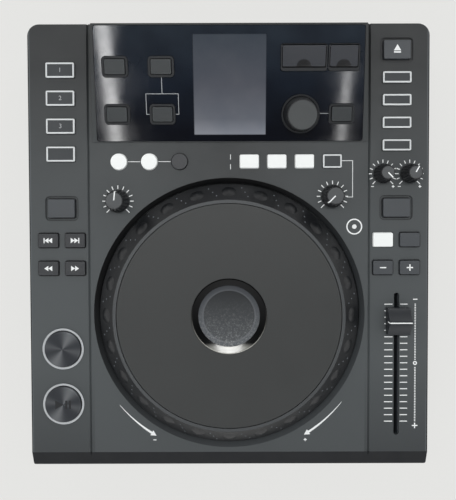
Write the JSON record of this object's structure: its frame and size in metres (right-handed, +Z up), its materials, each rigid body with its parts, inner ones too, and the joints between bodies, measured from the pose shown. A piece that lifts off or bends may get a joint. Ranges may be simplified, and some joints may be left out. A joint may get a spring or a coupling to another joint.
{
  "type": "tabletop disc player",
  "caption": "Tabletop disc player for disc jockeys with a large jog wheel, a pitch fader, push keys, a sloping display block and a disc slot in front.",
  "frame": {"origin": "under the middle of the case, on the plane that the feet stand on", "axes": "+X to the user's right, +Y away from the user towards the connectors, +Z up"},
  "size_m": [0.3106, 0.344, 0.1074],
  "materials": {
    "bearing": "matte",
    "boards": "satin",
    "case": "satin",
    "connectors": "satin",
    "cover": "satin",
    "door": "satin",
    "drive_plastic": "matte",
    "drive_steel": "satin",
    "fader_cap": "satin",
    "fader_track": "matte",
    "framed_key": "satin",
    "gloss_panel": "gloss",
    "jog_lens": "gloss",
    "jog_plate": "satin",
    "jog_rim": "satin",
    "key": "satin",
    "knob": "satin",
    "lit_key": "satin",
    "panel_key": "satin",
    "rocker": "gloss",
    "rubber": "matte",
    "screen": "gloss",
    "steel": "satin",
    "transport_key": "satin"
  },
  "bodies": {
    "case": {"top_cover": "cover", "lower_case": "case", "feet": "rubber", "screws": "steel", "display_panel": "gloss_panel", "screen_module": "screen", "fader_track": "fader_track", "jog_base": "bearing", "circuit_boards": "boards", "connectors": "connectors", "disc_drive_frame": "drive_steel"},
    "hot_cue_1_button": {"hot_cue_1_button": "framed_key"},
    "hot_cue_2_button": {"hot_cue_2_button": "framed_key"},
    "hot_cue_3_button": {"hot_cue_3_button": "framed_key"},
    "memory_button": {"memory_button": "framed_key"},
    "reverse_button": {"reverse_button": "key"},
    "track_back_button": {"track_back_button": "key"},
    "track_forward_button": {"track_forward_button": "key"},
    "search_back_button": {"search_back_button": "key"},
    "search_forward_button": {"search_forward_button": "key"},
    "cue_button": {"cue_button": "transport_key"},
    "play_pause_button": {"play_pause_button": "transport_key"},
    "loop_in_button": {"loop_in_button": "lit_key"},
    "loop_out_button": {"loop_out_button": "lit_key"},
    "reloop_button": {"reloop_button": "key"},
    "filter_button": {"filter_button": "lit_key"},
    "flanger_button": {"flanger_button": "lit_key"},
    "echo_button": {"echo_button": "lit_key"},
    "hold_button": {"hold_button": "framed_key"},
    "eject_button": {"eject_button": "key"},
    "source_disc_button": {"source_disc_button": "framed_key"},
    "source_usb_button": {"source_usb_button": "framed_key"},
    "source_card_button": {"source_card_button": "framed_key"},
    "source_midi_button": {"source_midi_button": "framed_key"},
    "jog_mode_button": {"jog_mode_button": "key"},
    "master_tempo_button": {"master_tempo_button": "lit_key"},
    "range_button": {"range_button": "key"},
    "pitch_bend_down_button": {"pitch_bend_down_button": "key"},
    "pitch_bend_up_button": {"pitch_bend_up_button": "key"},
    "text_mode_button": {"text_mode_button": "panel_key"},
    "tempo_button": {"tempo_button": "panel_key"},
    "auto_cue_button": {"auto_cue_button": "panel_key"},
    "lock_button": {"lock_button": "panel_key"},
    "back_button": {"back_button": "panel_key"},
    "jog_tension_knob": {"jog_tension_knob": "knob"},
    "effect_level_knob": {"effect_level_knob": "knob"},
    "start_time_knob": {"start_time_knob": "knob"},
    "stop_time_knob": {"stop_time_knob": "knob"},
    "select_plunger": {"select_plunger": "steel"},
    "select_knob": {"select_knob": "panel_key"},
    "card_door": {"card_door": "door"},
    "usb_door": {"usb_door": "door"},
    "pitch_fader_cap": {"pitch_fader_cap": "fader_cap"},
    "jog_wheel": {"jog_rim": "jog_rim", "jog_plate": "jog_plate", "jog_lens": "jog_lens"},
    "power_rocker": {"power_rocker": "rocker"},
    "feed_roller": {"feed_roller": "rubber"},
    "disc_turntable": {"disc_turntable": "drive_plastic"},
    "pickup_sled": {"pickup_sled": "drive_plastic"}
  },
  "joints": [
    {"name": "hot_cue_1_press", "type": "slide", "parent": "case", "child": "hot_cue_1_button", "axis": [0, 0.0523, -0.9986], "range_m": [0, 0.0008], "stiffness_N_per_m": 600},
    {"name": "hot_cue_2_press", "type": "slide", "parent": "case", "child": "hot_cue_2_button", "axis": [0, 0.0523, -0.9986], "range_m": [0, 0.0008], "stiffness_N_per_m": 600},
    {"name": "hot_cue_3_press", "type": "slide", "parent": "case", "child": "hot_cue_3_button", "axis": [0, 0.0523, -0.9986], "range_m": [0, 0.0008], "stiffness_N_per_m": 600},
    {"name": "memory_press", "type": "slide", "parent": "case", "child": "memory_button", "axis": [0, 0.0523, -0.9986], "range_m": [0, 0.0008], "stiffness_N_per_m": 600},
    {"name": "reverse_press", "type": "slide", "parent": "case", "child": "reverse_button", "axis": [0, 0.0523, -0.9986], "range_m": [0, 0.0008], "stiffness_N_per_m": 600},
    {"name": "track_back_press", "type": "slide", "parent": "case", "child": "track_back_button", "axis": [0, 0.0523, -0.9986], "range_m": [0, 0.0008], "stiffness_N_per_m": 600},
    {"name": "track_forward_press", "type": "slide", "parent": "case", "child": "track_forward_button", "axis": [0, 0.0523, -0.9986], "range_m": [0, 0.0008], "stiffness_N_per_m": 600},
    {"name": "search_back_press", "type": "slide", "parent": "case", "child": "search_back_button", "axis": [0, 0.0523, -0.9986], "range_m": [0, 0.0008], "stiffness_N_per_m": 600},
    {"name": "search_forward_press", "type": "slide", "parent": "case", "child": "search_forward_button", "axis": [0, 0.0523, -0.9986], "range_m": [0, 0.0008], "stiffness_N_per_m": 600},
    {"name": "cue_press", "type": "slide", "parent": "case", "child": "cue_button", "axis": [0, 0.0523, -0.9986], "range_m": [0, 0.0008], "stiffness_N_per_m": 600},
    {"name": "play_pause_press", "type": "slide", "parent": "case", "child": "play_pause_button", "axis": [0, 0.0523, -0.9986], "range_m": [0, 0.0008], "stiffness_N_per_m": 600},
    {"name": "loop_in_press", "type": "slide", "parent": "case", "child": "loop_in_button", "axis": [0, 0.0523, -0.9986], "range_m": [0, 0.0008], "stiffness_N_per_m": 600},
    {"name": "loop_out_press", "type": "slide", "parent": "case", "child": "loop_out_button", "axis": [0, 0.0523, -0.9986], "range_m": [0, 0.0008], "stiffness_N_per_m": 600},
    {"name": "reloop_press", "type": "slide", "parent": "case", "child": "reloop_button", "axis": [0, 0.0523, -0.9986], "range_m": [0, 0.0008], "stiffness_N_per_m": 600},
    {"name": "filter_press", "type": "slide", "parent": "case", "child": "filter_button", "axis": [0, 0.0523, -0.9986], "range_m": [0, 0.0008], "stiffness_N_per_m": 600},
    {"name": "flanger_press", "type": "slide", "parent": "case", "child": "flanger_button", "axis": [0, 0.0523, -0.9986], "range_m": [0, 0.0008], "stiffness_N_per_m": 600},
    {"name": "echo_press", "type": "slide", "parent": "case", "child": "echo_button", "axis": [0, 0.0523, -0.9986], "range_m": [0, 0.0008], "stiffness_N_per_m": 600},
    {"name": "hold_press", "type": "slide", "parent": "case", "child": "hold_button", "axis": [0, 0.0523, -0.9986], "range_m": [0, 0.0008], "stiffness_N_per_m": 600},
    {"name": "eject_press", "type": "slide", "parent": "case", "child": "eject_button", "axis": [0, 0.0523, -0.9986], "range_m": [0, 0.0008], "stiffness_N_per_m": 600},
    {"name": "source_disc_press", "type": "slide", "parent": "case", "child": "source_disc_button", "axis": [0, 0.0523, -0.9986], "range_m": [0, 0.0008], "stiffness_N_per_m": 600},
    {"name": "source_usb_press", "type": "slide", "parent": "case", "child": "source_usb_button", "axis": [0, 0.0523, -0.9986], "range_m": [0, 0.0008], "stiffness_N_per_m": 600},
    {"name": "source_card_press", "type": "slide", "parent": "case", "child": "source_card_button", "axis": [0, 0.0523, -0.9986], "range_m": [0, 0.0008], "stiffness_N_per_m": 600},
    {"name": "source_midi_press", "type": "slide", "parent": "case", "child": "source_midi_button", "axis": [0, 0.0523, -0.9986], "range_m": [0, 0.0008], "stiffness_N_per_m": 600},
    {"name": "jog_mode_press", "type": "slide", "parent": "case", "child": "jog_mode_button", "axis": [0, 0.0523, -0.9986], "range_m": [0, 0.0008], "stiffness_N_per_m": 600},
    {"name": "master_tempo_press", "type": "slide", "parent": "case", "child": "master_tempo_button", "axis": [0, 0.0523, -0.9986], "range_m": [0, 0.0008], "stiffness_N_per_m": 600},
    {"name": "range_press", "type": "slide", "parent": "case", "child": "range_button", "axis": [0, 0.0523, -0.9986], "range_m": [0, 0.0008], "stiffness_N_per_m": 600},
    {"name": "pitch_bend_down_press", "type": "slide", "parent": "case", "child": "pitch_bend_down_button", "axis": [0, 0.0523, -0.9986], "range_m": [0, 0.0008], "stiffness_N_per_m": 600},
    {"name": "pitch_bend_up_press", "type": "slide", "parent": "case", "child": "pitch_bend_up_button", "axis": [0, 0.0523, -0.9986], "range_m": [0, 0.0008], "stiffness_N_per_m": 600},
    {"name": "text_mode_press", "type": "slide", "parent": "case", "child": "text_mode_button", "axis": [0, 0.2756, -0.9613], "range_m": [0, 0.0008], "stiffness_N_per_m": 600},
    {"name": "tempo_press", "type": "slide", "parent": "case", "child": "tempo_button", "axis": [0, 0.2756, -0.9613], "range_m": [0, 0.0008], "stiffness_N_per_m": 600},
    {"name": "auto_cue_press", "type": "slide", "parent": "case", "child": "auto_cue_button", "axis": [0, 0.2756, -0.9613], "range_m": [0, 0.0008], "stiffness_N_per_m": 600},
    {"name": "lock_press", "type": "slide", "parent": "case", "child": "lock_button", "axis": [0, 0.2756, -0.9613], "range_m": [0, 0.0008], "stiffness_N_per_m": 600},
    {"name": "back_press", "type": "slide", "parent": "case", "child": "back_button", "axis": [0, 0.2756, -0.9613], "range_m": [0, 0.0008], "stiffness_N_per_m": 600},
    {"name": "jog_tension_turn", "type": "hinge", "parent": "case", "child": "jog_tension_knob", "pos_m": [-0.0863, 0.03583, 0.08032], "axis": [0, -0.0523, 0.9986], "range_deg": [-130, 140]},
    {"name": "effect_level_turn", "type": "hinge", "parent": "case", "child": "effect_level_knob", "pos_m": [0.0805, 0.03913, 0.08049], "axis": [0, -0.0523, 0.9986], "range_deg": [-270, 0]},
    {"name": "start_time_turn", "type": "hinge", "parent": "case", "child": "start_time_knob", "pos_m": [0.1196, 0.0565, 0.0814], "axis": [0, -0.0523, 0.9986], "range_deg": [0, 270]},
    {"name": "stop_time_turn", "type": "hinge", "parent": "case", "child": "stop_time_knob", "pos_m": [0.1404, 0.0565, 0.0814], "axis": [0, -0.0523, 0.9986], "range_deg": [-105, 165]},
    {"name": "select_push", "type": "slide", "parent": "case", "child": "select_plunger", "axis": [0, 0.2756, -0.9613], "range_m": [0, 0.0005], "stiffness_N_per_m": 1500},
    {"name": "select_turn", "type": "hinge", "parent": "select_plunger", "child": "select_knob", "pos_m": [0.055, 0.10151, 0.08932], "axis": [0, -0.2756, 0.9613], "continuous": true},
    {"name": "card_door_hinge", "type": "hinge", "parent": "case", "child": "card_door", "pos_m": [0.0566, 0.14908, 0.10265], "axis": [-1, 0, 0], "range_deg": [0, 100]},
    {"name": "usb_door_hinge", "type": "hinge", "parent": "case", "child": "usb_door", "pos_m": [0.0864, 0.14908, 0.10265], "axis": [-1, 0, 0], "range_deg": [0, 100]},
    {"name": "pitch_fader_slide", "type": "slide", "parent": "case", "child": "pitch_fader_cap", "axis": [0, 0.9986, 0.0523], "range_m": [-0.0846, 0.0154]},
    {"name": "jog_turn", "type": "hinge", "parent": "case", "child": "jog_wheel", "pos_m": [0, -0.05185, 0.07573], "axis": [0, -0.0523, 0.9986], "continuous": true},
    {"name": "power_switch", "type": "hinge", "parent": "case", "child": "power_rocker", "pos_m": [-0.13, 0.1588, 0.034], "axis": [1, 0, 0], "range_deg": [-14, 0]},
    {"name": "feed_roller_turn", "type": "hinge", "parent": "case", "child": "feed_roller", "pos_m": [0, -0.156, 0.0307], "axis": [1, 0, 0], "continuous": true},
    {"name": "disc_turn", "type": "hinge", "parent": "case", "child": "disc_turntable", "pos_m": [0, -0.092, 0.038], "axis": [0, 0, 1], "continuous": true},
    {"name": "pickup_travel", "type": "slide", "parent": "case", "child": "pickup_sled", "axis": [0, 1, 0], "range_m": [0, 0.033]}
  ]
}
